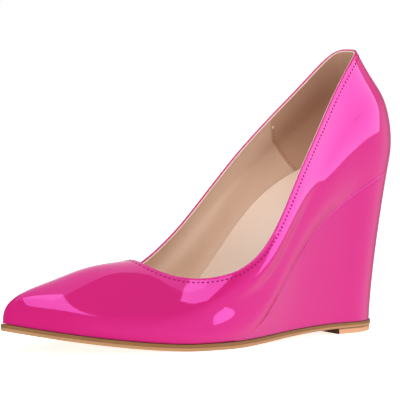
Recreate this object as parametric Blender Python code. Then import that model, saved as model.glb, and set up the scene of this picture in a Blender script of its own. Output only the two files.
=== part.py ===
# Pointed-toe wedge pump, the left shoe, standing empty on its sole.
# Metres, +Z up, toe toward -Y, outer side of the foot toward +X.
# Every piece follows the last: its length, ball width, heel rise and wall heights.
# A station is a share of SHOE_LENGTH, 0 at the tip of the toe and 1 at the back of the seat.

import math

import bmesh
import bpy
import numpy as np

# Sizes of the last
SHOE_LENGTH = 0.237
BALL_WIDTH = 0.074
HEEL_RISE = 0.0846
COUNTER_HEIGHT = 0.0585
INSTEP_HEIGHT = 0.0385
ARCH_RISE = 0.0045
TOE_SPRING = 0.0104
TOE_RADIUS = 0.0036
HEEL_RADIUS = 0.0253

# Sizes of the pieces
UPPER_WALL = 0.0016
TOE_WALL_SHARE = 0.65
TOE_WALL_LENGTH = 0.012
INSOLE_THICKNESS = 0.0030
INSOLE_HEEL_PAD = 0.0026
INSOLE_FLARE = 0.45
OUTSOLE_THICKNESS = 0.0034
OUTSOLE_HEEL_THICKNESS = 0.0025
OUTSOLE_MARGIN = 0.0009
LIFT_HEIGHT = 0.0028
LIFT_LENGTH = 0.031
LIFT_INSET = 0.0004
WEDGE_FRONT_EDGE = 0.0012
WEDGE_RAKE = 0.0082
WEDGE_HOLLOW = 1.5
GAP = 0.0003

# Stations of the sole's flat spot, and of the collar's throat and where it joins the side rim
FLAT_FRONT = 0.37
FLAT_BACK = 0.45
THROAT = 0.320
THROAT_END = 0.490
SPRING_POWER = 1.6

# Stations between which the inner side's arch rises, and those between which it ends
ARCH_START = (0.42, 0.62)
ARCH_END = (0.74, 0.98)
WAIST_WIDTH = 0.056

# Stations between which the insole's heel pad thickens
PAD_START = (0.52, 0.80)

# How far the counter's bulge and the collar stand behind the seat's back edge
BULGE_SHIFT = 0.0007
MIDDLE_SHIFT = -0.0049
RIM_SHIFT = -0.0218
RIDGE_SHIFT = -0.0580
SHIFT_POWER = 6

# Half widths of the feather line, as shares of BALL_WIDTH, and of the wedge's foot, as a share of them
PLAN = (
    ("station", "outer", "inner", "foot"),
    (0.04, 0.115, 0.113, 1.00),
    (0.10, 0.225, 0.213, 1.00),
    (0.20, 0.367, 0.340, 1.00),
    (0.30, 0.480, 0.435, 1.00),
    (0.38, 0.535, 0.463, 1.00),
    (0.46, 0.543, 0.449, 1.00),
    (0.55, 0.497, 0.387, 0.97),
    (0.65, 0.418, 0.336, 0.935),
    (0.75, 0.367, 0.332, 0.895),
    (0.85, 0.343, 0.335, 0.85),
    (0.93, 0.322, 0.310, 0.805),
)
FOOT_END = 0.78

# Rise of the feather line behind the ball, as a share of HEEL_RISE
SEAT = (
    ("station", "rise"),
    (0.00, 0.000),
    (0.20, 0.000),
    (0.34, 0.000),
    (0.45, 0.003),
    (0.53, 0.055),
    (0.60, 0.223),
    (0.68, 0.480),
    (0.76, 0.667),
    (0.84, 0.805),
    (0.92, 0.916),
    (1.00, 1.000),
)

# Wall over the feather line. Rims are shares of COUNTER_HEIGHT, the ridge of INSTEP_HEIGHT,
# and the widths are shares of the feather line's half width.
WALLS = (
    ("station", "outer_rim", "inner_rim", "ridge", "bulge", "middle", "rim"),
    (0.00, 0.042, 0.042, 0.100, 1.00, 0.97, 0.80),
    (0.06, 0.195, 0.198, 0.470, 1.02, 0.96, 0.75),
    (0.13, 0.268, 0.275, 0.660, 1.03, 0.955, 0.70),
    (0.22, 0.324, 0.338, 0.870, 1.04, 0.955, 0.67),
    (0.31, 0.388, 0.406, 0.970, 1.04, 0.97, 0.68),
    (0.40, 0.465, 0.490, 1.180, 1.05, 1.00, 0.81),
    (0.50, 0.618, 0.655, 1.830, 1.06, 1.05, 1.02),
    (0.60, 0.705, 0.715, 2.250, 1.10, 1.12, 1.10),
    (0.70, 0.722, 0.690, 2.550, 1.12, 1.135, 1.01),
    (0.80, 0.825, 0.765, 2.850, 1.11, 1.115, 0.79),
    (0.90, 0.970, 0.915, 3.000, 1.08, 1.045, 0.58),
    (1.00, 1.000, 1.000, 3.000, 1.05, 0.975, 0.65),
)
BULGE_LEVEL = 0.20
MIDDLE_LEVEL = 0.58

# Places of feather line, bulge, middle, rim and ridge along a section, from 0 to 1
KNOTS = np.array((0.0, 0.14, 0.38, 0.66, 1.0))

# Fineness of the facets
RIBS = 50
UPPER_LEVELS = 12
PLATE_CELLS = 5
LIFT_RIBS = 14
WEDGE_LEVELS = 9


def spline(knots, values, places, flat_end=False):
    """Cubic spline through values at knots, read at places, with free ends or a level last end."""
    knots = np.asarray(knots, dtype=float)
    values = np.asarray(values, dtype=float)
    places = np.asarray(places, dtype=float)
    count = len(knots)
    steps = np.diff(knots)
    matrix = np.eye(count)
    right = np.zeros_like(values)
    for row in range(1, count - 1):
        matrix[row, row - 1] = steps[row - 1]
        matrix[row, row] = 2 * (steps[row - 1] + steps[row])
        matrix[row, row + 1] = steps[row]
        slope_after = (values[row + 1] - values[row]) / steps[row]
        slope_before = (values[row] - values[row - 1]) / steps[row - 1]
        right[row] = 6 * (slope_after - slope_before)
    if flat_end:
        matrix[-1, -2:] = (steps[-1], 2 * steps[-1])
        right[-1] = -6 * (values[-1] - values[-2]) / steps[-1]
    bends = np.linalg.solve(matrix, right)
    index = np.clip(np.searchsorted(knots, places) - 1, 0, count - 2)
    step = steps[index]
    after = (places - knots[index]) / step
    before = 1 - after
    if values.ndim > 1:
        step = step[..., None]
        after = after[..., None]
        before = before[..., None]
    curve = (before**3 - before) * bends[index] + (after**3 - after) * bends[index + 1]
    return before * values[index] + after * values[index + 1] + curve * step**2 / 6


def turn(station):
    """Angle of a station: it packs stations close together at toe and heel, where outlines are round."""
    return np.arccos(1 - 2 * np.clip(station, 0, 1))


def station_at(angle):
    return (1 - np.cos(angle)) / 2


def rib_angles():
    """Angles of the ribs that the pieces share, so that their facets lie along each other."""
    return np.linspace(0, math.pi, RIBS + 1)


def column(table, name):
    place = table[0].index(name)
    return np.array([row[place] for row in table[1:]], dtype=float)


def read(table, name, angle):
    """A table's column as a smooth curve along the shoe, running level over the middle of the heel."""
    return spline(turn(column(table, "station")), column(table, name), angle, flat_end=True)


def half_width(name, angle):
    """Half width of the feather line, round at the toe and the heel."""
    knots = turn(column(PLAN, "station"))
    fullness = column(PLAN, name) * BALL_WIDTH / np.sin(knots)
    toe = math.sqrt(TOE_RADIUS * SHOE_LENGTH / 2)
    heel = math.sqrt(HEEL_RADIUS * SHOE_LENGTH / 2)
    knots = np.concatenate(([0], knots, [math.pi]))
    fullness = np.concatenate(([toe], fullness, [heel]))
    return spline(knots, fullness, angle, flat_end=True) * np.sin(angle)


def foot_share(angle):
    """What the outline at the floor keeps of the feather line's width."""
    knots = np.concatenate(([0], turn(column(PLAN, "station")), [math.pi]))
    shares = np.concatenate(([1], column(PLAN, "foot"), [FOOT_END]))
    return spline(knots, shares, angle, flat_end=True)


def smooth_step(start, end, value):
    share = np.clip((value - start) / (end - start), 0, 1)
    return share * share * (3 - 2 * share)


def sole_bottom(station):
    """Height of the outsole's underside: toe spring, flat ball, low arch and flat heel."""
    station = np.clip(station, 0, 1)
    spring = TOE_SPRING * np.clip(1 - station / FLAT_FRONT, 0, 1) ** SPRING_POWER
    lift_front = 1 - (LIFT_LENGTH + WEDGE_RAKE) / SHOE_LENGTH
    return spring + (LIFT_HEIGHT + GAP) * smooth_step(FLAT_BACK, lift_front, station)


def sole_top(station):
    thinning = smooth_step(FLAT_BACK, 1, station)
    return sole_bottom(station) + OUTSOLE_THICKNESS + (OUTSOLE_HEEL_THICKNESS - OUTSOLE_THICKNESS) * thinning


def feather_height(station, sideways):
    """Height of the seat at a place sideways of the middle line; the arch tilts it up to the inner side."""
    station = np.clip(station, 0, 1)
    rise = np.clip(read(SEAT, "rise", turn(station)), 0, None)
    rise = np.where(station < FLAT_FRONT, 0, rise)
    arch = smooth_step(*ARCH_START, station) - smooth_step(*ARCH_END, station)
    inward = 0.5 - sideways / WAIST_WIDTH
    return sole_top(station) + GAP + HEEL_RISE * rise + ARCH_RISE * arch * inward


def wall_lines(angle, side):
    """Feather line, bulge, middle and rim on one side, and the ridge, at each angle."""
    station = station_at(angle)
    width = half_width("outer" if side > 0 else "inner", angle) * side
    rim = read(WALLS, "outer_rim" if side > 0 else "inner_rim", angle) * COUNTER_HEIGHT
    ridge = read(WALLS, "ridge", angle) * INSTEP_HEIGHT
    base = feather_height(station, width)
    forward = SHOE_LENGTH * station
    back = station**SHIFT_POWER
    lines = (
        (width, forward, base),
        (width * read(WALLS, "bulge", angle), forward + BULGE_SHIFT * back, base + rim * BULGE_LEVEL),
        (width * read(WALLS, "middle", angle), forward + MIDDLE_SHIFT * back, base + rim * MIDDLE_LEVEL),
        (width * read(WALLS, "rim", angle), forward + RIM_SHIFT * back, base + rim),
        (np.zeros_like(width), forward + RIDGE_SHIFT * back, base + ridge),
    )
    return np.stack([np.stack(line, axis=-1) for line in lines], axis=-2)


def last_surface(angle, level, side):
    """Points of the last: level 0 is the feather line of one side and level 1 the ridge."""
    angle, level = np.broadcast_arrays(angle, level)
    near = wall_lines(angle.ravel(), side)
    far = wall_lines(angle.ravel(), -side)
    lines = np.concatenate((near, far[:, 3::-1]), axis=1)
    knots = np.concatenate((KNOTS, 2 - KNOTS[3::-1]))
    weights = spline(knots, np.eye(len(knots)), level.ravel())
    points = np.einsum("nk,nkc->nc", weights, lines)
    return points.reshape(angle.shape + (3,))


def upper_grid(side):
    """Ribs of one side, each from the feather line up to the ridge or the collar."""
    angle = rib_angles()
    throat = turn(THROAT)
    throat_end = turn(THROAT_END)
    angle[np.argmin(abs(angle - throat))] = throat
    sweep = np.clip((angle - throat) / (throat_end - throat), 0, 1) * math.pi / 2
    curve = THROAT_END - (THROAT_END - THROAT) * np.cos(sweep)
    inside = (angle > throat) & (angle < throat_end)
    top_angle = np.where(inside, turn(curve), angle)
    top_level = 1 - (1 - KNOTS[3]) * np.sin(sweep)
    share = np.linspace(0, 1, UPPER_LEVELS + 1)
    angles = angle[:, None] + (top_angle - angle)[:, None] * share
    return last_surface(angles, top_level[:, None] * share, side)


def outline(angle, side, offset, foot):
    """Plan of the feather line, or of the wedge's foot, moved outward by an offset."""
    def place(at):
        station = station_at(at)
        width = half_width("outer" if side > 0 else "inner", at)
        if foot:
            width = width * foot_share(at)
        rake = WEDGE_RAKE * station**SHIFT_POWER if foot else 0
        return np.stack((width * side, SHOE_LENGTH * station - rake), axis=-1)

    small = 1e-4
    ahead = place(np.minimum(angle + small, math.pi))
    behind = place(np.maximum(angle - small, 0))
    tangent = ahead - behind
    normal = np.stack((tangent[..., 1], -tangent[..., 0]), axis=-1) * side
    normal = normal / np.linalg.norm(normal, axis=-1, keepdims=True)
    at_toe = np.isclose(angle, 0)[..., None]
    at_heel = np.isclose(angle, math.pi)[..., None]
    normal = np.where(at_toe, np.array((0.0, -1.0)), normal)
    normal = np.where(at_heel, np.array((0.0, 1.0)), normal)
    return place(angle) + normal * np.reshape(offset, (-1, 1))


def paint(name, colour, roughness, coat):
    material = bpy.data.materials.new(name)
    material.use_nodes = True
    shader = material.node_tree.nodes["Principled BSDF"]
    shader.inputs["Base Color"].default_value = (*colour, 1)
    shader.inputs["Roughness"].default_value = roughness
    shader.inputs["Metallic"].default_value = 0
    shader.inputs["Coat Weight"].default_value = coat
    material.diffuse_color = (*colour, 1)
    return material


def finish(name, mesh_builder, material):
    """Merge shared corners, turn faces outward and make the named object."""
    bmesh.ops.remove_doubles(mesh_builder, verts=mesh_builder.verts, dist=1e-6)
    bmesh.ops.recalc_face_normals(mesh_builder, faces=mesh_builder.faces)
    mesh = bpy.data.meshes.new(name)
    mesh_builder.to_mesh(mesh)
    mesh_builder.free()
    mesh.shade_smooth()
    mesh.set_sharp_from_angle(angle=math.radians(35))
    mesh.materials.append(material)
    piece = bpy.data.objects.new(name, mesh)
    bpy.context.scene.collection.objects.link(piece)
    return piece


def add_patch(mesh_builder, grid):
    """Triangles over a grid of points, their diagonals leaning one way, so that none lies flat at the toe."""
    rows = [[mesh_builder.verts.new(point) for point in row] for row in grid.tolist()]
    for row, following in zip(rows, rows[1:]):
        for place in range(len(row) - 1):
            mesh_builder.faces.new((row[place], row[place + 1], following[place]))
            mesh_builder.faces.new((row[place + 1], following[place + 1], following[place]))


def make_upper(material):
    """Both sides of the last as one skin, thickened inward to the leather's wall."""
    mesh_builder = bmesh.new()
    for side in (1, -1):
        add_patch(mesh_builder, upper_grid(side))
    piece = finish("upper", mesh_builder, material)
    full_wall = piece.vertex_groups.new(name="full wall")
    for vertex in piece.data.vertices:
        full_wall.add([vertex.index], min(vertex.co.y / TOE_WALL_LENGTH, 1), "REPLACE")
    wall = piece.modifiers.new("wall", "SOLIDIFY")
    wall.vertex_group = full_wall.name
    wall.thickness_vertex_group = TOE_WALL_SHARE
    wall.thickness = UPPER_WALL
    wall.offset = -1
    wall.use_even_offset = True
    return piece


def loft(name, rings, material):
    """Solid through closed rings of points, with a flat face over each open end."""
    mesh_builder = bmesh.new()
    closed = np.concatenate((rings, rings[:, :1]), axis=1)
    add_patch(mesh_builder, closed)
    for ring in (rings[0], rings[-1]):
        if np.ptp(ring[:, 0]) > 1e-5:
            mesh_builder.faces.new([mesh_builder.verts.new(point) for point in ring.tolist()])
    return finish(name, mesh_builder, material)


def across(outer, inner):
    """Points from the outer edge to the inner edge of each rib."""
    share = np.linspace(0, 1, PLATE_CELLS + 1)[None, :, None]
    return outer[:, None, :] * (1 - share) + inner[:, None, :] * share


def plate(name, angle, offset, flare, foot, bottom, top, material):
    """Sheet over an outline, wider by the flare at its top; bottom and top give its heights."""
    def face(margin, height):
        spread = across(outline(angle, 1, margin, foot), outline(angle, -1, margin, foot))
        return np.dstack((spread, height(spread[..., 1] / SHOE_LENGTH, spread[..., 0])))

    upper_side = face(offset + flare, top)
    lower_side = face(offset, bottom)
    rings = np.concatenate((upper_side, lower_side[:, ::-1]), axis=1)
    return loft(name, rings, material)


def insole_top(station, sideways):
    """Top of the insole: its thickness is measured square to the slope of the seat."""
    small = 0.01
    before = np.clip(station - small, 0, 1)
    after = np.clip(station + small, 0, 1)
    climb = feather_height(after, sideways) - feather_height(before, sideways)
    slope = climb / ((after - before) * SHOE_LENGTH)
    thickness = INSOLE_THICKNESS + INSOLE_HEEL_PAD * smooth_step(*PAD_START, station)
    return feather_height(station, sideways) + thickness * np.sqrt(1 + slope**2)


def make_insole(material):
    angle = rib_angles()
    bulge = (read(WALLS, "bulge", angle) - 1) * half_width("inner", angle)
    offset = -(UPPER_WALL + 2 * GAP)
    return plate("insole", angle, offset, INSOLE_FLARE * bulge, False, feather_height, insole_top, material)


def make_outsole(material):
    def bottom(station, sideways):
        return sole_bottom(station)

    def top(station, sideways):
        return sole_top(station)

    return plate("outsole", rib_angles(), OUTSOLE_MARGIN, 0, True, bottom, top, material)


def make_top_lift(material):
    def bottom(station, sideways):
        return np.zeros_like(station)

    def top(station, sideways):
        return np.full_like(station, LIFT_HEIGHT)

    front = turn(1 - (LIFT_LENGTH + WEDGE_RAKE) / SHOE_LENGTH)
    angle = np.linspace(front, math.pi, LIFT_RIBS + 1)
    return plate("top_lift", angle, OUTSOLE_MARGIN - LIFT_INSET, 0, True, bottom, top, material)


def wedge_front():
    """First station where the wedge is as thick as its front edge."""
    stations = np.linspace(FLAT_FRONT, 1, 2000)
    room = feather_height(stations, WAIST_WIDTH / 2) - sole_top(stations) - 2 * GAP
    return stations[np.argmax(room > WEDGE_FRONT_EDGE)]


def make_wedge(material):
    """Covered wedge: the seat on top, hollowed sides and back, the outsole's line below."""
    front = turn(wedge_front())
    behind = rib_angles()[rib_angles() > front]
    angle = np.concatenate(([front], behind))
    level = np.linspace(0, 1, WEDGE_LEVELS + 1)[None, :, None]
    walls = []
    for side in (1, -1):
        seat = outline(angle, side, 0, False)
        foot = outline(angle, side, 0, True)
        seat_height = feather_height(seat[:, 1] / SHOE_LENGTH, seat[:, 0]) - GAP
        foot_height = sole_top(foot[:, 1] / SHOE_LENGTH) + GAP
        top = np.column_stack((seat, seat_height))[:, None, :]
        low = np.column_stack((foot, foot_height))[:, None, :]
        wall = low + (top - low) * level
        wall[..., :2] = low[..., :2] + (top - low)[..., :2] * level**WEDGE_HOLLOW
        walls.append(wall)
    outer, inner = walls
    seat = across(outer[:, -1], inner[:, -1])
    foot = across(inner[:, 0], outer[:, 0])
    rings = np.concatenate((outer, seat[:, 1:-1], inner[:, ::-1], foot[:, 1:-1]), axis=1)
    return loft("wedge", rings, material)


def centre_on_box(pieces):
    """Put the bottom centre of the shoe's box at the origin."""
    bpy.context.view_layer.update()
    graph = bpy.context.evaluated_depsgraph_get()
    corners = []
    for piece in pieces:
        mesh = piece.evaluated_get(graph).to_mesh()
        corners.extend(vertex.co.copy() for vertex in mesh.vertices)
    corners = np.array(corners)
    centre = (corners.min(axis=0) + corners.max(axis=0)) / 2
    for piece in pieces:
        piece.location = (-centre[0], -centre[1], 0)


def main():
    for old in list(bpy.data.objects):
        bpy.data.objects.remove(old)
    patent = paint("pink patent", (0.76, 0.045, 0.30), 0.08, 1.0)
    covering = paint("pink patent cover", (0.76, 0.045, 0.30), 0.10, 1.0)
    lining = paint("beige insole", (0.66, 0.50, 0.40), 0.55, 0.0)
    tan = paint("tan sole", (0.32, 0.20, 0.12), 0.60, 0.0)
    peach = paint("peach lift", (0.60, 0.36, 0.21), 0.60, 0.0)
    pieces = [
        make_upper(patent),
        make_insole(lining),
        make_wedge(covering),
        make_outsole(tan),
        make_top_lift(peach),
    ]
    centre_on_box(pieces)


main()
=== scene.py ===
import math

import bpy
import numpy as np
from mathutils import Matrix, Vector


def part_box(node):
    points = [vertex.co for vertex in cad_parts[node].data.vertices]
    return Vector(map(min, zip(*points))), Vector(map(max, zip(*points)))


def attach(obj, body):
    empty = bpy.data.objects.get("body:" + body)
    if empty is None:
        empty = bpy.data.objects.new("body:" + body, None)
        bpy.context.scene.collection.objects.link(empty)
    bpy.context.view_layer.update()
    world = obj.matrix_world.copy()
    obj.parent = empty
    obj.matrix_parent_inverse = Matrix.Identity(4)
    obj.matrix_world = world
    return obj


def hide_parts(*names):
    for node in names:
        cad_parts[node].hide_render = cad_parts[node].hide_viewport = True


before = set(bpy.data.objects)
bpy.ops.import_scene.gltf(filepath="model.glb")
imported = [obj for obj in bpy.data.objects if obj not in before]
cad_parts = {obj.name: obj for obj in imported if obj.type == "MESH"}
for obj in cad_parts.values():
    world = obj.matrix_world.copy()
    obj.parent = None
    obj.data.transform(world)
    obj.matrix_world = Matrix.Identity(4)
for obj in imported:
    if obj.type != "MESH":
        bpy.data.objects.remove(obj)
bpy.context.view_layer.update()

bpy.ops.object.select_all(action="DESELECT")

# The last's sizes and tables, the same as in the part's own source
shoe = {
    "length": 0.237,
    "ballWidth": 0.074,
    "heelRise": 0.0846,
    "counterHeight": 0.0585,
    "instepHeight": 0.0385,
    "archRise": 0.0045,
    "toeSpring": 0.0104,
    "toeRadius": 0.0036,
    "heelRadius": 0.0253,
    "soleThickness": 0.0034,
    "soleHeelThickness": 0.0025,
    "soleMargin": 0.0009,
    "liftHeight": 0.0028,
    "liftLength": 0.031,
    "liftInset": 0.0004,
    "wedgeRake": 0.0082,
    "wedgeHollow": 1.5,
    "wall": 0.0016,
    "gap": 0.0003,
    "flatFront": 0.37,
    "flatBack": 0.45,
    "throat": 0.320,
    "throatEnd": 0.490,
    "springPower": 1.6,
    "archStart": (0.42, 0.62),
    "archEnd": (0.74, 0.98),
    "waistWidth": 0.056,
    "bulgeShift": 0.0007,
    "middleShift": -0.0049,
    "rimShift": -0.0218,
    "ridgeShift": -0.0580,
    "shiftPower": 6,
    "footEnd": 0.78,
    "bulgeLevel": 0.20,
    "middleLevel": 0.58,
    "ribs": 50,
}
planRows = (
    ("station", "outer", "inner", "foot"),
    (0.04, 0.115, 0.113, 1.00),
    (0.10, 0.225, 0.213, 1.00),
    (0.20, 0.367, 0.340, 1.00),
    (0.30, 0.480, 0.435, 1.00),
    (0.38, 0.535, 0.463, 1.00),
    (0.46, 0.543, 0.449, 1.00),
    (0.55, 0.497, 0.387, 0.97),
    (0.65, 0.418, 0.336, 0.935),
    (0.75, 0.367, 0.332, 0.895),
    (0.85, 0.343, 0.335, 0.85),
    (0.93, 0.322, 0.310, 0.805),
)
seatRows = (
    ("station", "rise"),
    (0.00, 0.000),
    (0.20, 0.000),
    (0.34, 0.000),
    (0.45, 0.003),
    (0.53, 0.055),
    (0.60, 0.223),
    (0.68, 0.480),
    (0.76, 0.667),
    (0.84, 0.805),
    (0.92, 0.916),
    (1.00, 1.000),
)
wallRows = (
    ("station", "outerRim", "innerRim", "ridge", "bulge", "middle", "rim"),
    (0.00, 0.042, 0.042, 0.100, 1.00, 0.97, 0.80),
    (0.06, 0.195, 0.198, 0.470, 1.02, 0.96, 0.75),
    (0.13, 0.268, 0.275, 0.660, 1.03, 0.955, 0.70),
    (0.22, 0.324, 0.338, 0.870, 1.04, 0.955, 0.67),
    (0.31, 0.388, 0.406, 0.970, 1.04, 0.97, 0.68),
    (0.40, 0.465, 0.490, 1.180, 1.05, 1.00, 0.81),
    (0.50, 0.618, 0.655, 1.830, 1.06, 1.05, 1.02),
    (0.60, 0.705, 0.715, 2.250, 1.10, 1.12, 1.10),
    (0.70, 0.722, 0.690, 2.550, 1.12, 1.135, 1.01),
    (0.80, 0.825, 0.765, 2.850, 1.11, 1.115, 0.79),
    (0.90, 0.970, 0.915, 3.000, 1.08, 1.045, 0.58),
    (1.00, 1.000, 1.000, 3.000, 1.05, 0.975, 0.65),
)
sectionKnots = np.array((0.0, 0.14, 0.38, 0.66, 1.0))  # feather line, bulge, middle, rim and ridge
rimLevel = sectionKnots[3]
tinyTurn = 1e-4  # step in which an outline's direction is read
slopeStep = 1e-3  # and the last's slopes
stationStep = 0.01  # and the seat's slope


def smoothCurve(knots, values, places, level=False):
    knots = np.asarray(knots, dtype=float)
    values = np.asarray(values, dtype=float)
    places = np.asarray(places, dtype=float)
    steps = np.diff(knots)
    matrix = np.eye(len(knots))
    right = np.zeros_like(values)
    for row in range(1, len(knots) - 1):
        matrix[row, row - 1:row + 2] = (steps[row - 1], 2 * (steps[row - 1] + steps[row]), steps[row])
        slopeAfter = (values[row + 1] - values[row]) / steps[row]
        slopeBefore = (values[row] - values[row - 1]) / steps[row - 1]
        right[row] = 6 * (slopeAfter - slopeBefore)
    if level:  # the curve runs level at its last end
        matrix[-1, -2:] = (steps[-1], 2 * steps[-1])
        right[-1] = -6 * (values[-1] - values[-2]) / steps[-1]
    bends = np.linalg.solve(matrix, right)
    index = np.clip(np.searchsorted(knots, places) - 1, 0, len(knots) - 2)
    step = steps[index]
    after = (places - knots[index]) / step
    before = 1 - after
    if values.ndim > 1:
        step, after, before = step[..., None], after[..., None], before[..., None]
    curve = (before**3 - before) * bends[index] + (after**3 - after) * bends[index + 1]
    return before * values[index] + after * values[index + 1] + curve * step**2 / 6


def turnOf(station):
    return np.arccos(1 - 2 * np.clip(station, 0, 1))


def stationOf(turn):
    return (1 - np.cos(turn)) / 2


def columnOf(rows, name):
    place = rows[0].index(name)
    return np.array([row[place] for row in rows[1:]], dtype=float)


def readRows(rows, name, turn):
    return smoothCurve(turnOf(columnOf(rows, "station")), columnOf(rows, name), turn, level=True)


def halfWidth(name, turn):
    knots = turnOf(columnOf(planRows, "station"))
    fullness = columnOf(planRows, name) * shoe["ballWidth"] / np.sin(knots)
    toe = math.sqrt(shoe["toeRadius"] * shoe["length"] / 2)
    heel = math.sqrt(shoe["heelRadius"] * shoe["length"] / 2)
    knots = np.concatenate(([0], knots, [math.pi]))
    fullness = np.concatenate(([toe], fullness, [heel]))
    return smoothCurve(knots, fullness, turn, level=True) * np.sin(turn)


def footShare(turn):
    knots = np.concatenate(([0], turnOf(columnOf(planRows, "station")), [math.pi]))
    shares = np.concatenate(([1], columnOf(planRows, "foot"), [shoe["footEnd"]]))
    return smoothCurve(knots, shares, turn, level=True)


def easeStep(start, end, value):
    share = np.clip((value - start) / (end - start), 0, 1)
    return share * share * (3 - 2 * share)


def soleBottom(station):
    station = np.clip(station, 0, 1)
    spring = shoe["toeSpring"] * np.clip(1 - station / shoe["flatFront"], 0, 1) ** shoe["springPower"]
    liftFront = 1 - (shoe["liftLength"] + shoe["wedgeRake"]) / shoe["length"]
    return spring + (shoe["liftHeight"] + shoe["gap"]) * easeStep(shoe["flatBack"], liftFront, station)


def soleTop(station):
    thinning = easeStep(shoe["flatBack"], 1, station) * (shoe["soleHeelThickness"] - shoe["soleThickness"])
    return soleBottom(station) + shoe["soleThickness"] + thinning


def seatHeight(station, sideways):
    station = np.clip(station, 0, 1)
    rise = np.clip(readRows(seatRows, "rise", turnOf(station)), 0, None)
    rise = np.where(station < shoe["flatFront"], 0, rise)
    arch = easeStep(*shoe["archStart"], station) - easeStep(*shoe["archEnd"], station)
    inward = 0.5 - sideways / shoe["waistWidth"]
    return soleTop(station) + shoe["gap"] + shoe["heelRise"] * rise + shoe["archRise"] * arch * inward


def wallLines(turn, side):
    station = stationOf(turn)
    width = halfWidth("outer" if side > 0 else "inner", turn) * side
    rim = readRows(wallRows, "outerRim" if side > 0 else "innerRim", turn) * shoe["counterHeight"]
    ridge = readRows(wallRows, "ridge", turn) * shoe["instepHeight"]
    base = seatHeight(station, width)
    forward = shoe["length"] * station
    back = station ** shoe["shiftPower"]
    bulge, middle, top = (width * readRows(wallRows, name, turn) for name in ("bulge", "middle", "rim"))
    lines = (
        (width, forward, base),
        (bulge, forward + shoe["bulgeShift"] * back, base + rim * shoe["bulgeLevel"]),
        (middle, forward + shoe["middleShift"] * back, base + rim * shoe["middleLevel"]),
        (top, forward + shoe["rimShift"] * back, base + rim),
        (np.zeros_like(width), forward + shoe["ridgeShift"] * back, base + ridge),
    )
    return np.stack([np.stack(line, axis=-1) for line in lines], axis=-2)


def lastPoint(turn, level, side):  # level 0 is one side's feather line, level 1 the ridge
    turn, level = np.broadcast_arrays(turn, level)
    near = wallLines(turn.ravel(), side)
    far = wallLines(turn.ravel(), -side)
    lines = np.concatenate((near, far[:, 3::-1]), axis=1)
    knots = np.concatenate((sectionKnots, 2 - sectionKnots[3::-1]))
    weights = smoothCurve(knots, np.eye(len(knots)), level.ravel())
    return np.einsum("nk,nkc->nc", weights, lines).reshape(turn.shape + (3,))


def unit(vectors):
    return vectors / np.maximum(np.linalg.norm(vectors, axis=-1, keepdims=True), 1e-12)


def slopesOf(turn, level, side):
    after, before = np.minimum(turn + slopeStep, math.pi), np.maximum(turn - slopeStep, 0)
    alongTurn = (lastPoint(after, level, side) - lastPoint(before, level, side)) / (after - before)[..., None]
    alongLevel = lastPoint(turn, level + slopeStep, side) - lastPoint(turn, level - slopeStep, side)
    return alongTurn, alongLevel / (2 * slopeStep)


def lastNormal(turn, level, side):  # points out of the foot
    alongTurn, alongLevel = slopesOf(turn, level, side)
    return unit(np.cross(alongTurn, alongLevel)) * side


def outline(turn, side, offset, foot):
    def place(at):
        station = stationOf(at)
        width = halfWidth("outer" if side > 0 else "inner", at) * (footShare(at) if foot else 1)
        rake = shoe["wedgeRake"] * station ** shoe["shiftPower"] if foot else 0
        return np.stack((width * side, shoe["length"] * station - rake), axis=-1)

    tangent = place(np.minimum(turn + tinyTurn, math.pi)) - place(np.maximum(turn - tinyTurn, 0))
    normal = unit(np.stack((tangent[..., 1], -tangent[..., 0]), axis=-1) * side)
    normal = np.where(np.isclose(turn, 0)[..., None], np.array((0.0, -1.0)), normal)
    normal = np.where(np.isclose(turn, math.pi)[..., None], np.array((0.0, 1.0)), normal)
    return place(turn) + normal * np.reshape(offset, (-1, 1))


# Where the last's own origin, the toe tip on the middle line, lies in the frame
packedRibs = np.linspace(0, math.pi, shoe["ribs"] + 1)
soleInner = outline(packedRibs, -1, shoe["soleMargin"], True)
toeTip = np.array((
    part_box("outsole")[0][0] - soleInner[:, 0].min(),
    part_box("outsole")[0][1] + shoe["soleMargin"],
    0.0,
))


# Modelling helpers: a grid primitive is laid over computed places, then joined, merged and turned outward
mergeDistance = 2e-6


def deselect():
    bpy.ops.object.select_all(action="DESELECT")


def gridSheet(name, points):
    rows, columns = points.shape[0] - 1, points.shape[1] - 1
    deselect()
    bpy.ops.mesh.primitive_grid_add(x_subdivisions=columns, y_subdivisions=rows, size=1, location=(0, 0, 0))
    sheet = bpy.context.object
    sheet.name = sheet.data.name = name
    corners = np.empty(len(sheet.data.vertices) * 3)
    sheet.data.vertices.foreach_get("co", corners)
    share = corners.reshape(-1, 3) + 0.5
    column = np.rint(share[:, 0] * columns).astype(int)
    row = np.rint(share[:, 1] * rows).astype(int)
    sheet.data.vertices.foreach_set("co", (points[row, column] + toeTip).ravel())
    sheet.data.update()
    return sheet


def editMesh(piece, *steps):
    deselect()
    piece.select_set(True)
    bpy.context.view_layer.objects.active = piece
    bpy.ops.object.mode_set(mode="EDIT")
    bpy.ops.mesh.select_all(action="SELECT")
    for step in steps:
        step()
    bpy.ops.object.mode_set(mode="OBJECT")


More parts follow.
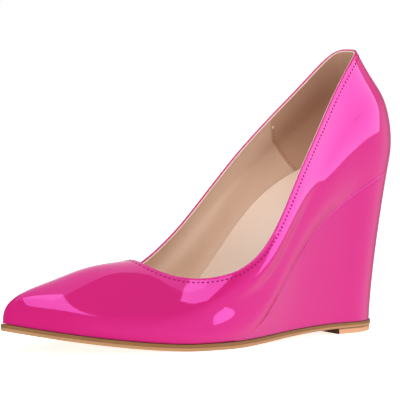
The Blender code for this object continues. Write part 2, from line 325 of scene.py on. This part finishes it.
def joined(name, sheets, closed=False):
    deselect()
    for sheet in sheets:
        sheet.select_set(True)
    bpy.context.view_layer.objects.active = sheets[0]
    if len(sheets) > 1:
        bpy.ops.object.join()
    piece = bpy.context.object
    piece.name = piece.data.name = name
    steps = [lambda: bpy.ops.mesh.remove_doubles(threshold=mergeDistance)]
    if closed:  # a face goes over each open end
        steps.append(lambda: bpy.ops.mesh.select_all(action="DESELECT"))
        steps.append(lambda: bpy.ops.mesh.select_non_manifold(extend=False))
        steps.append(lambda: bpy.ops.mesh.fill())
        steps.append(lambda: bpy.ops.mesh.select_all(action="SELECT"))
    steps.append(lambda: bpy.ops.mesh.normals_make_consistent(inside=False))
    editMesh(piece, *steps)
    widest = max(piece.data.vertices, key=lambda vertex: vertex.co.x)
    if widest.normal.x < 0:
        editMesh(piece, bpy.ops.mesh.flip_normals)
    return piece


def applied(piece, kind, **settings):
    modifier = piece.modifiers.new(kind.lower(), kind)
    for name, value in settings.items():
        setattr(modifier, name, value)
    deselect()
    piece.select_set(True)
    bpy.context.view_layer.objects.active = piece
    bpy.ops.object.modifier_apply(modifier=modifier.name)


def smoothShade(piece, degrees):
    deselect()
    piece.select_set(True)
    bpy.context.view_layer.objects.active = piece
    bpy.ops.object.shade_smooth_by_angle(angle=math.radians(degrees))


def dressed(piece, material, slot, *nodes):
    piece.data.materials.clear()
    piece.data.materials.append(material)
    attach(piece, "root")
    if nodes:
        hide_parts(*nodes)


# Materials: a socket that does sums, and a graph that adds any other node
class Wire:
    def __init__(self, graph, socket):
        self.graph = graph
        self.socket = socket

    def sums(self, operation, first, second):
        return self.graph.add("ShaderNodeMath", {"operation": operation}, {0: first, 1: second})

    def __add__(self, other):
        return self.sums("ADD", self, other)

    def __radd__(self, other):
        return self.sums("ADD", other, self)

    def __mul__(self, other):
        return self.sums("MULTIPLY", self, other)

    def __rmul__(self, other):
        return self.sums("MULTIPLY", other, self)


class Graph:
    def __init__(self, name, colour, settings):
        self.material = bpy.data.materials.new(name)
        self.material.use_nodes = True
        self.material.diffuse_color = (*colour, 1)
        self.shader = self.material.node_tree.nodes["Principled BSDF"]
        self.shader.inputs["Base Color"].default_value = (*colour, 1)
        for socket, value in settings.items():
            self.shader.inputs[socket].default_value = value

    def add(self, kind, settings, sockets, output=0):
        node = self.material.node_tree.nodes.new(kind)
        for name, value in settings.items():
            setattr(node, name, value)
        for name, value in sockets.items():
            if isinstance(value, Wire):
                self.material.node_tree.links.new(value.socket, node.inputs[name])
            else:
                node.inputs[name].default_value = value
        return Wire(self, node.outputs[output])

    def feed(self, name, wire):
        self.material.node_tree.links.new(wire.socket, self.shader.inputs[name])

    def place(self):
        return self.add("ShaderNodeTexCoord", {}, {}, "Object")

    def noise(self, scale, detail, stretch=(1, 1, 1)):
        spot = self.add("ShaderNodeMapping", {}, {"Vector": self.place(), "Scale": stretch})
        return self.add("ShaderNodeTexNoise", {}, {"Vector": spot, "Scale": scale, "Detail": detail}, "Fac")

    def mix(self, factor, first, second):  # the factor is a wire, and both colours are plain
        node = self.material.node_tree.nodes.new("ShaderNodeMix")
        node.data_type = "RGBA"
        used = [socket for socket in node.inputs if socket.enabled]
        self.material.node_tree.links.new(factor.socket, next(s for s in used if s.name == "Factor"))
        for name, colour in (("A", first), ("B", second)):
            next(s for s in used if s.name == name and s.type == "RGBA").default_value = (*colour, 1)
        return Wire(self, next(s for s in node.outputs if s.type == "RGBA" and s.enabled))

    def bump(self, height, strength, distance):
        sockets = {"Height": height, "Strength": strength, "Distance": distance}
        self.feed("Normal", self.add("ShaderNodeBump", {}, sockets, "Normal"))


patentLook = {
    "tint": (0.85, 0.20, 1.0, 1.0), "coat": 0.05, "coatRoughness": 0.03, "roughness": 0.04, "smear": 0.03,
    "swell": 0.5, "peel": 0.03, "bump": 0.08, "bumpHeight": 0.0004,
    "cloudScale": 14, "smearScale": 70, "swellScale": 55, "peelScale": 420,
}


def patentLeather(name, colour, deep):
    look = patentLook
    graph = Graph(name, colour, {
        "Metallic": 0, "IOR": 1.5, "Specular IOR Level": 1.0, "Specular Tint": look["tint"],
        "Coat Weight": look["coat"], "Coat Roughness": look["coatRoughness"], "Coat IOR": 1.5,
    })
    graph.feed("Base Color", graph.mix(graph.noise(look["cloudScale"], 2), colour, deep))
    smears = graph.noise(look["smearScale"], 3) * look["smear"]  # faint smears on the gloss
    graph.feed("Roughness", smears + look["roughness"])
    waves = graph.noise(look["swellScale"], 1) * look["swell"]  # slow waves of the film
    peel = graph.noise(look["peelScale"], 1) * look["peel"]  # and its fine peel
    graph.bump(waves + peel, look["bump"], look["bumpHeight"])
    return graph.material


leatherLook = {
    "sheen": 0.15, "sheenRoughness": 0.5, "cloud": 0.7, "pores": 0.25, "wear": 0.14,
    "poreDepth": 0.6, "grainDepth": 0.4, "bump": 0.25, "bumpHeight": 0.00012,
    "cloudScale": 45, "wearScale": 90, "grainShare": 0.6,
}


def softLeather(name, colour, shade, roughness, grain):
    look = leatherLook
    graph = Graph(name, colour, {
        "Metallic": 0, "Sheen Weight": look["sheen"], "Sheen Roughness": look["sheenRoughness"],
    })
    cloud = graph.noise(look["cloudScale"], 3)
    pores = graph.add("ShaderNodeTexVoronoi", {"feature": "F1"}, {"Vector": graph.place(), "Scale": grain})
    graph.feed("Base Color", graph.mix(cloud * look["cloud"] + pores * look["pores"], colour, shade))
    wear = graph.noise(look["wearScale"], 2) * look["wear"]  # it lies evenly about the roughness
    graph.feed("Roughness", wear + (roughness - look["wear"] / 2))
    fine = graph.noise(grain * look["grainShare"], 3) * look["grainDepth"]
    graph.bump(pores * look["poreDepth"] + fine, look["bump"], look["bumpHeight"])
    return graph.material


edgeLook = {
    "shine": 0.08, "fibres": 0.6, "blotch": 0.4, "wear": 0.2, "bump": 0.2, "bumpHeight": 0.0002,
    "fibreScale": 60, "fibreStretch": (0.6, 0.6, 14), "blotchScale": 70,
}


def stainedEdge(name, colour, dark, roughness):
    look = edgeLook
    graph = Graph(name, colour, {"Metallic": 0, "Specular IOR Level": look["shine"]})
    fibres = graph.noise(look["fibreScale"], 4, look["fibreStretch"])  # layers, one over the other
    blotch = graph.noise(look["blotchScale"], 2)
    graph.feed("Base Color", graph.mix(fibres * look["fibres"] + blotch * look["blotch"], colour, dark))
    graph.feed("Roughness", fibres * look["wear"] + (roughness - look["wear"] / 2))
    graph.bump(fibres, look["bump"], look["bumpHeight"])
    return graph.material


threadLook = {"roughness": 0.7, "shine": 0.15, "twistScale": 1500, "bump": 0.3, "bumpHeight": 0.0001}


def threadMaterial(name, colour, dark):
    look = threadLook
    graph = Graph(name, colour, {
        "Metallic": 0, "Roughness": look["roughness"], "Specular IOR Level": look["shine"],
    })
    twist = graph.noise(look["twistScale"], 1)
    graph.feed("Base Color", graph.mix(twist, colour, dark))
    graph.bump(twist, look["bump"], look["bumpHeight"])
    return graph.material


finishes = {
    "pink": (0.63, 0.015, 0.172),
    "deepPink": (0.60, 0.012, 0.160),
    "stitchPink": (0.42, 0.004, 0.14),
    "stitchDark": (0.30, 0.003, 0.10),
    "lining": (0.80, 0.57, 0.43),
    "liningShade": (0.73, 0.50, 0.37),
    # the heel grip's colours: a darker brown suede, darkened further as painted shade for the inside of the heel
    "grip": (0.62, 0.38, 0.26),
    "gripShade": (0.54, 0.32, 0.21),
    "seam": (0.36, 0.20, 0.12),
    "insole": (0.86, 0.68, 0.56),
    "insoleShade": (0.80, 0.62, 0.50),
    "cream": (0.92, 0.76, 0.64),
    "edge": (0.31, 0.160, 0.065),
    "edgeDark": (0.20, 0.095, 0.036),
    "edgeTan": (0.52, 0.29, 0.145),
    "edgeTanDark": (0.42, 0.225, 0.105),
    # a much darker colour for the heel lift's front face
    "liftFront": (0.10, 0.045, 0.022),
    "liftFrontDark": (0.05, 0.022, 0.012),
    "underside": (0.46, 0.30, 0.18),
    "undersideDark": (0.40, 0.25, 0.15),
    "lift": (0.74, 0.42, 0.25),
    "liftDark": (0.64, 0.34, 0.19),
}
patent = patentLeather("pinkPatent", finishes["pink"], finishes["deepPink"])
liningLeather = softLeather("beigeLining", finishes["lining"], finishes["liningShade"], 0.50, 1500)
# the heel grip's material: its darker colour is partly the suede's own and partly painted shade
gripSuedeAndShade = softLeather("heelGripSuedeAndShade", finishes["grip"], finishes["gripShade"], 0.75, 2200)
insoleLeather = softLeather("beigeInsole", finishes["insole"], finishes["insoleShade"], 0.42, 1300)
creamLeather = softLeather("creamLiningEdge", finishes["cream"], finishes["lining"], 0.5, 1800)
edgeStain = stainedEdge("brownSoleEdge", finishes["edge"], finishes["edgeDark"], 0.40)
edgeTan = stainedEdge("tanSoleEdge", finishes["edgeTan"], finishes["edgeTanDark"], 0.45)
soleLeather = softLeather("tanSoleUnderside", finishes["underside"], finishes["undersideDark"], 0.45, 900)
liftRubber = stainedEdge("peachHeelLift", finishes["lift"], finishes["liftDark"], 0.5)
# the heel lift's front face is coloured much darker than the rest of the lift
darkenedLiftFront = stainedEdge("darkLiftFront", finishes["liftFront"], finishes["liftFrontDark"], 0.6)
pinkThread = threadMaterial("pinkThread", finishes["stitchPink"], finishes["stitchDark"])
brownThread = threadMaterial("brownThread", finishes["seam"], finishes["gripShade"])
print("materials made")

# Upper: one sheet for each side of the last, from the feather line to the ridge or the collar
upperMake = {"ribs": 240, "levels": 44, "skin": 0.0011, "crease": 50}


def ribTurns(count):
    turns = np.linspace(0, math.pi, count + 1)
    turns[np.argmin(abs(turns - turnOf(shoe["throat"])))] = turnOf(shoe["throat"])
    return turns


def collarPlace(turns):  # the top of each rib: the ridge in front of the throat, then the collar
    throat, throatEnd = turnOf(shoe["throat"]), turnOf(shoe["throatEnd"])
    sweep = np.clip((turns - throat) / (throatEnd - throat), 0, 1) * math.pi / 2
    curve = shoe["throatEnd"] - (shoe["throatEnd"] - shoe["throat"]) * np.cos(sweep)
    topTurn = np.where((turns > throat) & (turns < throatEnd), turnOf(curve), turns)
    return topTurn, 1 - (1 - rimLevel) * np.sin(sweep)


def sideGrid(side, turns, levels, depth=0.0, top=1.0):
    topTurn, topLevel = collarPlace(turns)
    share = np.linspace(0, top, levels + 1)
    angles = turns[:, None] + (topTurn - turns)[:, None] * share
    heights = topLevel[:, None] * share
    points = lastPoint(angles, heights, side)
    if depth:
        points = points - lastNormal(angles, heights, side) * depth
    return points


turns = ribTurns(upperMake["ribs"])
upper = joined("patentUpper", [
    gridSheet("side", sideGrid(side, turns, upperMake["levels"]))
    for side in (1, -1)
])
applied(upper, "SOLIDIFY", thickness=upperMake["skin"], offset=-1, use_even_offset=False)
smoothShade(upper, upperMake["crease"])
dressed(upper, patent, "upper", "upper")
print("upper made")

# Lining: its own sheet inside the skin, from the feather line up to the collar's edge
liningMake = {
    "ribs": 170, "levels": 30, "thickness": 0.0004, "clear": 0.00008, "top": 1.0, "firstTurn": 0.25, "crease": 50,
}
liningTurns = ribTurns(liningMake["ribs"])
liningTurns = liningTurns[liningTurns > liningMake["firstTurn"]]
liningDepth = upperMake["skin"] + liningMake["clear"]
lining = joined("lining", [
    gridSheet("side", sideGrid(side, liningTurns, liningMake["levels"], liningDepth, liningMake["top"]))
    for side in (1, -1)
])
applied(lining, "SOLIDIFY", thickness=liningMake["thickness"], offset=-1, use_even_offset=False)
smoothShade(lining, liningMake["crease"])
dressed(lining, liningLeather, "insole")
print("lining made")


# Collar: places at equal steps round the opening, with the way along, out and down at each
collarMake = {
    "step": 0.0014, "samples": 1200, "crease": 60,
    "width": 0.00064, "height": 0.0008, "depth": 0.00055, "around": 12,
    "creamWidth": 0.00040, "creamHeight": 0.00055, "creamDepth": 0.00145, "creamAround": 10,
}


def collarLoop(step, down, depth):
    loops = []
    for side in (1, -1):
        turns = np.linspace(turnOf(shoe["throat"]), math.pi, collarMake["samples"])
        topTurn, topLevel = collarPlace(turns)
        points = lastPoint(topTurn, topLevel, side)
        rows = np.column_stack((points, topTurn, topLevel, np.full_like(topTurn, side)))
        loops.append(rows if side > 0 else rows[-2:0:-1])
    rows = np.concatenate(loops)
    closed = np.concatenate((rows, rows[:1]))
    run = np.concatenate(([0], np.cumsum(np.linalg.norm(np.diff(closed[:, :3], axis=0), axis=1))))
    count = int(round(run[-1] / step))
    stops = np.arange(count) * run[-1] / count
    nearest = np.clip(np.searchsorted(run, stops), 1, len(rows)) - 1
    parts = []
    points = np.empty((count, 3))
    normals = np.empty((count, 3))
    for side in (1, -1):
        chosen = rows[nearest, 5] == side
        turn = np.interp(stops, run[:-1], rows[:, 3])[chosen]
        level = np.interp(stops, run[:-1], rows[:, 4])[chosen]
        points[chosen] = lastPoint(turn, level, side)
        normals[chosen] = lastNormal(turn, level, side)
        parts.append((chosen, turn, level, side))
    along = unit(np.roll(points, -1, axis=0) - np.roll(points, 1, axis=0))
    normals = unit(normals - along * np.sum(normals * along, axis=1, keepdims=True))
    below = unit(np.cross(along, normals))
    seat = points.copy()
    if down:  # the place that far under the edge, on the last itself
        for chosen, turn, level, side in parts:
            slopes = np.stack(slopesOf(turn, level, side), axis=-1)
            shift = np.einsum("nij,nj->ni", np.linalg.pinv(slopes), below[chosen] * down)
            seat[chosen] = lastPoint(turn + shift[:, 0], level + shift[:, 1], side)
            normals[chosen] = lastNormal(turn + shift[:, 0], level + shift[:, 1], side)
    return seat - normals * depth, along, normals, below


def beadGrid(points, out, up, width, height, around):
    angle = np.linspace(0, 2 * math.pi, around + 1)[None, :, None]
    ring = points[:, None] + out[:, None] * np.cos(angle) * width + up[:, None] * np.sin(angle) * height
    return np.concatenate((ring, ring[:1]))


seat, along, out, below = collarLoop(collarMake["step"], 0, collarMake["depth"])
bead = beadGrid(seat, out, below, collarMake["width"], collarMake["height"], collarMake["around"])
collarEdge = joined("collarEdge", [gridSheet("bead", bead)])
smoothShade(collarEdge, collarMake["crease"])
dressed(collarEdge, patent, "upper")
seat, along, out, below = collarLoop(collarMake["step"], 0, collarMake["creamDepth"])
bead = beadGrid(seat, out, below, collarMake["creamWidth"], collarMake["creamHeight"], collarMake["creamAround"])
liningEdge = joined("liningEdge", [gridSheet("bead", bead)])
smoothShade(liningEdge, collarMake["crease"])
dressed(liningEdge, creamLeather, "insole")
print("collar edges made")


# Stitches: one bead, copied to each place, with its length, width and height along, across and out
stitchMake = {"pitch": 0.0023, "below": 0.0021, "size": (0.00066, 0.00052, 0.00024), "segments": 8, "rings": 6}


def stitchRow(name, seats, along, out, size, material, slot):
    deselect()
    bpy.ops.mesh.primitive_uv_sphere_add(
        segments=stitchMake["segments"], ring_count=stitchMake["rings"], radius=1, location=(0, 0, 0),
    )
    pattern = bpy.context.object
    shape = np.empty(len(pattern.data.vertices) * 3)
    pattern.data.vertices.foreach_get("co", shape)
    shape = shape.reshape(-1, 3)
    across = np.cross(out, along)
    length, width, height = size
    copies = []
    for place, way, normal, wide in zip(seats, along, out, across):
        stitch = pattern.copy()
        stitch.data = pattern.data.copy()
        bpy.context.collection.objects.link(stitch)
        spots = place + toeTip + shape[:, :1] * way * length
        spots = spots + shape[:, 1:2] * wide * width + shape[:, 2:] * normal * height
        stitch.data.vertices.foreach_set("co", spots.ravel())
        copies.append(stitch)
    bpy.data.objects.remove(pattern)
    deselect()
    for stitch in copies:
        stitch.select_set(True)
    bpy.context.view_layer.objects.active = copies[0]
    bpy.ops.object.join()
    piece = bpy.context.object
    piece.name = piece.data.name = name
    editMesh(piece, lambda: bpy.ops.mesh.normals_make_consistent(inside=False))
    smoothShade(piece, 180)
    dressed(piece, material, slot)


seat, along, out, below = collarLoop(stitchMake["pitch"], stitchMake["below"], 0)
stitchRow("collarStitches", seat, along, out, stitchMake["size"], pinkThread, "upper")
print("collar stitches made")

# Heel grip: a softer patch over the back of the lining, sewn down along its curved front edge
gripMake = {
    "ribs": 60, "levels": 24, "depth": 0.00160, "thickness": 0.0003, "pitch": 0.0021, "behind": 0.012, "crease": 50,
    "seamLevels": (0.0, 0.16, 0.30, 0.56, 0.66), "seamTurns": (2.385, 2.293, 2.229, 2.166, 2.148),
    "sewnLevels": (0.04, 0.63), "seamSamples": 400, "seamStep": 0.01,
    "stitchSize": (0.00075, 0.0004, 0.00022), "endSize": (0.0009, 0.0008, 0.0004),
}


def seamTurn(level):
    return smoothCurve(gripMake["seamLevels"], gripMake["seamTurns"], level)


def inside(turn, level, side, depth):
    return lastPoint(turn, level, side) - lastNormal(turn, level, side) * depth


gripLevel = np.linspace(0, rimLevel, gripMake["levels"] + 1)[None, :]
gripShare = np.linspace(0, 1, gripMake["ribs"] + 1)[:, None]
gripTurn = seamTurn(gripLevel) * (1 - gripShare) + math.pi * gripShare
gripHeight = gripLevel + 0 * gripTurn
heelGrip = joined("heelGrip", [
    gridSheet("side", inside(gripTurn, gripHeight, side, gripMake["depth"]))
    for side in (1, -1)
])
applied(heelGrip, "SOLIDIFY", thickness=gripMake["thickness"], offset=-1, use_even_offset=False)
smoothShade(heelGrip, gripMake["crease"])
dressed(heelGrip, gripSuedeAndShade, "insole")
gripDepth = gripMake["depth"] + gripMake["thickness"]
seams, ends = [], []
for side in (1, -1):
    level = np.linspace(*gripMake["sewnLevels"], gripMake["seamSamples"])
    line = inside(seamTurn(level) + gripMake["behind"], level, side, gripDepth)
    run = np.concatenate(([0], np.cumsum(np.linalg.norm(np.diff(line, axis=0), axis=1))))
    level = np.interp(np.arange(0, run[-1], gripMake["pitch"]), run, level)
    turn = seamTurn(level) + gripMake["behind"]
    higher, lower = level + gripMake["seamStep"], level - gripMake["seamStep"]
    way = unit(inside(seamTurn(higher), higher, side, 0) - inside(seamTurn(lower), lower, side, 0))
    seams.append((inside(turn, level, side, gripDepth), way, lastNormal(turn, level, side)))
    ends.append([row[-1:] for row in seams[-1]])
for name, rows, size, material in (
    ("gripSeam", seams, gripMake["stitchSize"], brownThread),
    ("seamEnds", ends, gripMake["endSize"], creamLeather),
):
    seat, along, out = (np.concatenate(part) for part in zip(*rows))
    stitchRow(name, seat, along, out, size, material, "insole")
print("heel grip made")


# Insole: a padded sheet with rounded edges
insoleMake = {
    "ribs": 120, "cells": 36, "thickness": 0.0030, "heelPad": 0.0026, "flare": 0.45, "padStart": (0.52, 0.80),
    "round": 0.0012, "sheet": 0.0018, "crease": 50,
}


def insoleTop(station, sideways):
    before = np.clip(station - stationStep, 0, 1)
    after = np.clip(station + stationStep, 0, 1)
    slope = (seatHeight(after, sideways) - seatHeight(before, sideways)) / ((after - before) * shoe["length"])
    thickness = insoleMake["thickness"] + insoleMake["heelPad"] * easeStep(*insoleMake["padStart"], station)
    return seatHeight(station, sideways) + thickness * np.sqrt(1 + slope**2)


insoleTurns = np.linspace(0, math.pi, insoleMake["ribs"] + 1)
bulge = (readRows(wallRows, "bulge", insoleTurns) - 1) * halfWidth("inner", insoleTurns)
margin = -(shoe["wall"] + 2 * shoe["gap"]) + insoleMake["flare"] * bulge
outer = outline(insoleTurns, 1, margin, False)
inner = outline(insoleTurns, -1, margin, False)
share = np.sin(np.linspace(-1, 1, insoleMake["cells"] + 1) * math.pi / 2)  # closer together at the edges
across = share[None, :, None]
flat = outer[:, None] * (1 - across) / 2 + inner[:, None] * (1 + across) / 2
edge = np.linalg.norm(outer - inner, axis=1)[:, None] / 2 * (1 - abs(share))
corner = np.clip(insoleMake["round"] - edge, 0, insoleMake["round"])
drop = insoleMake["round"] - np.sqrt(insoleMake["round"] ** 2 - corner**2)
top = np.dstack((flat, insoleTop(flat[..., 1] / shoe["length"], flat[..., 0]) - drop))
insole = joined("insoleSheet", [gridSheet("top", top)])
if insole.data.polygons[0].normal.z < 0:
    editMesh(insole, bpy.ops.mesh.flip_normals)
applied(insole, "SOLIDIFY", thickness=insoleMake["sheet"], offset=-1, use_even_offset=False)
smoothShade(insole, insoleMake["crease"])
dressed(insole, insoleLeather, "insole", "insole")
print("insole made")

# Wedge: seat on top, hollowed sides, the sole's line below
wedgeMake = {
    "frontEdge": 0.0002, "ribs": 120, "levels": 26, "cells": 6, "seatGap": 0.00006, "samples": 2000, "crease": 40,
    "round": 0.0009, "roundShare": 0.35, "corner": (1.0, 0.75, 0.5, 0.3, 0.15, 0.0),
}
corner = np.array(wedgeMake["corner"])[None, :, None]
stations = np.linspace(shoe["flatFront"], 1, wedgeMake["samples"])
room = seatHeight(stations, shoe["waistWidth"] / 2) - soleTop(stations) - 2 * shoe["gap"]
wedgeFront = turnOf(stations[np.argmax(room > wedgeMake["frontEdge"])])
wedgeTurns = np.linspace(wedgeFront, math.pi, wedgeMake["ribs"] + 1)
walls = []
for side in (1, -1):
    seatLine = outline(wedgeTurns, side, 0, False)
    inward = outline(wedgeTurns, side, -1, False) - seatLine
    footLine = outline(wedgeTurns, side, 0, True)
    seatLevel = seatHeight(seatLine[:, 1] / shoe["length"], seatLine[:, 0]) - wedgeMake["seatGap"]
    high = np.column_stack((seatLine, seatLevel))[:, None]
    low = np.column_stack((footLine, soleTop(footLine[:, 1] / shoe["length"]) + shoe["gap"]))[:, None]
    tall = np.maximum((high - low)[:, :, 2:], 1e-6)  # never nothing, because it divides
    curl = np.minimum(wedgeMake["round"], wedgeMake["roundShare"] * tall)  # radius of the rounded upper edge
    straight = np.linspace(0, 1, wedgeMake["levels"] + 1)[None, :-1, None] * (1 - curl / tall)
    level = np.concatenate((straight, 1 - corner * curl / tall), axis=1)
    wall = low + (high - low) * level
    wall[..., :2] = low[..., :2] + (high - low)[..., :2] * level ** shoe["wedgeHollow"]
    wall[:, -corner.size:, :2] += inward[:, None] * (curl * (1 - np.sqrt(1 - (1 - corner) ** 2)))
    walls.append(wall)
share = np.linspace(0, 1, wedgeMake["cells"] + 1)[None, :, None]
seatRowsAcross = walls[0][:, -1:] * (1 - share) + walls[1][:, -1:] * share
footRowsAcross = walls[1][:, :1] * (1 - share) + walls[0][:, :1] * share
ring = np.concatenate((walls[0], seatRowsAcross[:, 1:], walls[1][:, -2::-1], footRowsAcross[:, 1:]), axis=1)
wedge = joined("wedgeCover", [gridSheet("ring", ring)], closed=True)
smoothShade(wedge, wedgeMake["crease"])
dressed(wedge, patent, "wedge", "wedge")
print("wedge made")

# Outsole and heel lift: rings of points whose edges are rounded off
soleMake = {
    "ribs": 150, "cells": 16, "round": 0.0005, "liftRibs": 40, "liftCells": 6, "crease": 50,
    "band": 0.47, "undersideTilt": -0.9, "topTilt": 0.7, "frontTilt": -0.7,  # band: how high the tan reaches
}
edgeProfile = (  # how far in, in edge radii, and how high, from bottom to top
    (-1.0, 1.0), (-0.45, 0.96), (-0.1, 0.86), (0.0, 0.72), (0.0, soleMake["band"]), (0.0, 0.28),
    (-0.1, 0.14), (-0.45, 0.04), (-1.0, 0.0),
)


def soleRing(turns, margin, lowHeight, highHeight, cells):
    def lineAt(side, inset, share):
        line = outline(turns, side, margin + inset * soleMake["round"], True)
        station = line[:, 1] / shoe["length"]
        low, high = lowHeight(station), highHeight(station)
        return np.column_stack((line, low + (high - low) * share))

    outerEdge = [lineAt(1, inset, share) for inset, share in edgeProfile]
    innerEdge = [lineAt(-1, inset, share) for inset, share in edgeProfile[::-1]]

    def sheetBetween(start, end, height):
        share = np.linspace(0, 1, cells + 1)[1:-1]
        rows = [start * (1 - part) + end * part for part in share]
        for row in rows:
            row[:, 2] = height(row[:, 1] / shoe["length"])
        return rows

    lower = sheetBetween(outerEdge[-1], innerEdge[0], lowHeight)
    upperRows = sheetBetween(innerEdge[-1], outerEdge[0], highHeight)
    rows = outerEdge + lower + innerEdge + upperRows + outerEdge[:1]
    return np.stack(rows, axis=1)


soleTurns = np.linspace(0, math.pi, soleMake["ribs"] + 1)
ring = soleRing(soleTurns, shoe["soleMargin"], soleBottom, soleTop, soleMake["cells"])
sole = joined("outsoleSheet", [gridSheet("ring", ring)])
smoothShade(sole, soleMake["crease"])
dressed(sole, edgeStain, "outsole", "outsole")
sole.data.materials.append(soleLeather)
sole.data.materials.append(edgeTan)
for face in sole.data.polygons:
    station = (face.center.y - toeTip[1]) / shoe["length"]
    low, high = soleBottom(station), soleTop(station)
    if face.normal.z < soleMake["undersideTilt"]:
        face.material_index = 1
    elif face.normal.z < soleMake["topTilt"] and face.center.z < low + soleMake["band"] * (high - low):
        face.material_index = 2
liftFront = turnOf(1 - (shoe["liftLength"] + shoe["wedgeRake"]) / shoe["length"])
liftTurns = np.linspace(liftFront, math.pi, soleMake["liftRibs"] + 1)
liftMargin = shoe["soleMargin"] - shoe["liftInset"]
liftTop = lambda station: np.full_like(station, shoe["liftHeight"])
ring = soleRing(liftTurns, liftMargin, np.zeros_like, liftTop, soleMake["liftCells"])
lift = joined("heelLift", [gridSheet("ring", ring)], closed=True)
smoothShade(lift, soleMake["crease"])
dressed(lift, liftRubber, "top_lift", "top_lift")
lift.data.materials.append(darkenedLiftFront)
for face in lift.data.polygons:
    if face.normal.y < soleMake["frontTilt"]:  # the lift's front face is coloured much darker than the rest of the lift
        face.material_index = 1
print("sole made")

# Stage, light and camera
stage = {
    "floorSize": 80.0,
    "floorColour": (0.86, 0.86, 0.86),
    "floorGlow": 0.72,
    "worldLight": 0.38,
    "worldFront": 0.30,
    "worldBack": 1.20,
    "brightWay": (0.75, 0.66, -0.05),
    "brightFrom": 0.35,
    "brightTo": 0.90,
    "worldSeen": 1.0,
    "aim": (0.0, 0.1185, 0.075),
    "azimuth": 52.0,
    "elevation": 3.9,
    "distance": 1.150,
    "roll": -1.6,
    "pixelsPerMetre": 1960,
    "aimPixel": (202.3, 191.9),
    "imageSize": 400,
    "sensorWidth": 36,
    "floorDrop": 0.0002,
    "floorSides": 96,
}
deselect()
bpy.ops.mesh.primitive_circle_add(
    vertices=stage["floorSides"], radius=stage["floorSize"] / 2, fill_type="NGON",
    location=(0, 0, -stage["floorDrop"]),
)
floor = bpy.context.object
floor.name = "floor"
floorGraph = Graph("paleFloor", stage["floorColour"], {
    "Roughness": 0.75, "Specular IOR Level": 0.2,
    "Emission Color": (1, 1, 1, 1), "Emission Strength": stage["floorGlow"],
})
floor.data.materials.append(floorGraph.material)
floor.visible_glossy = False  # the patent doesn't mirror it

# World: plain light, white to the camera, and in reflections brighter beside the heel than elsewhere
world = bpy.data.worlds.new("studio")
bpy.context.scene.world = world
world.use_nodes = True
worldNodes = world.node_tree
background = worldNodes.nodes["Background"]
background.inputs["Color"].default_value = (1, 1, 1, 1)
direction = worldNodes.nodes.new("ShaderNodeTexCoord")
facing = worldNodes.nodes.new("ShaderNodeVectorMath")
room = worldNodes.nodes.new("ShaderNodeMapRange")
lightPath = worldNodes.nodes.new("ShaderNodeLightPath")
gloss = worldNodes.nodes.new("ShaderNodeMapRange")
seen = worldNodes.nodes.new("ShaderNodeMapRange")
facing.operation = "DOT_PRODUCT"
facing.inputs[1].default_value = stage["brightWay"]
room.interpolation_type = "SMOOTHSTEP"
room.inputs["From Min"].default_value = stage["brightFrom"]
room.inputs["From Max"].default_value = stage["brightTo"]
room.inputs["To Min"].default_value = stage["worldFront"]
room.inputs["To Max"].default_value = stage["worldBack"]
gloss.inputs["To Min"].default_value = stage["worldLight"]
seen.inputs["To Max"].default_value = stage["worldSeen"]
worldNodes.links.new(direction.outputs["Generated"], facing.inputs[0])
worldNodes.links.new(facing.outputs["Value"], room.inputs["Value"])
worldNodes.links.new(room.outputs["Result"], gloss.inputs["To Max"])
worldNodes.links.new(lightPath.outputs["Is Glossy Ray"], gloss.inputs["Value"])
worldNodes.links.new(gloss.outputs["Result"], seen.inputs["To Min"])
worldNodes.links.new(lightPath.outputs["Is Camera Ray"], seen.inputs["Value"])
worldNodes.links.new(seen.outputs["Result"], background.inputs["Strength"])

# Light boxes: bearing and height in degrees, distance, width, height, brightness, the place each faces,
# and whether it shows only as gloss or only lights softly
softboxes = {
    "sideBox": (132, 29, 1.24, 0.92, 1.10, 3.6, (0.02, 0.05, 0.08), "gloss"),
    "overheadBox": (74, 67, 0.80, 0.26, 0.42, 3.2, (0.03, -0.02, 0.03), "gloss"),
    "toeBox": (233, 57, 0.24, 0.18, 0.56, 0.9, (0.01, -0.09, 0.02), "gloss"),
    "keyLight": (60, 66, 1.40, 1.00, 1.00, 4.3, (0.0, 0.02, 0.05), "soft"),
    "rearLight": (145, 20, 1.40, 1.00, 1.00, 0.8, (0.0, 0.05, 0.07), "soft"),
}


def wayFrom(bearing, height):  # bearing 0 is in front of the toe and 90 is on the outer side
    flat = math.cos(height)
    return Vector((math.sin(bearing) * flat, -math.cos(bearing) * flat, math.sin(height)))


for name, (bearing, height, distance, width, tall, brightness, target, task) in softboxes.items():
    way = wayFrom(math.radians(bearing), math.radians(height))
    deselect()
    bpy.ops.object.light_add(type="AREA", location=Vector(target) + way * distance)
    box = bpy.context.object
    box.name = name
    box.data.shape = "RECTANGLE"
    box.data.size = width
    box.data.size_y = tall
    box.data.energy = brightness * math.pi * width * tall
    box.rotation_euler = way.to_track_quat("Z", "Y").to_euler()
    box.visible_diffuse = task == "soft"
    box.visible_glossy = task == "gloss"

# Camera: the photo's angle
azimuth, elevation, roll = (math.radians(stage[name]) for name in ("azimuth", "elevation", "roll"))
away = wayFrom(azimuth, elevation)
right = Vector((math.cos(azimuth), math.sin(azimuth), 0))
upright = away.cross(right)
turnedRight = right * math.cos(roll) - upright * math.sin(roll)
turnedUp = right * math.sin(roll) + upright * math.cos(roll)
bpy.ops.object.camera_add()
camera = bpy.context.object
camera.matrix_world = Matrix((turnedRight, turnedUp, away)).transposed().to_4x4()
camera.location = Vector(toeTip) + Vector(stage["aim"]) + away * stage["distance"]
camera.data.sensor_width = stage["sensorWidth"]
camera.data.lens = stage["pixelsPerMetre"] * stage["distance"] / stage["imageSize"] * stage["sensorWidth"]
camera.data.shift_x = (stage["imageSize"] / 2 - stage["aimPixel"][0]) / stage["imageSize"]
camera.data.shift_y = (stage["aimPixel"][1] - stage["imageSize"] / 2) / stage["imageSize"]
bpy.context.scene.camera = camera
bpy.context.scene.view_settings.view_transform = "Standard"
print("stage made")
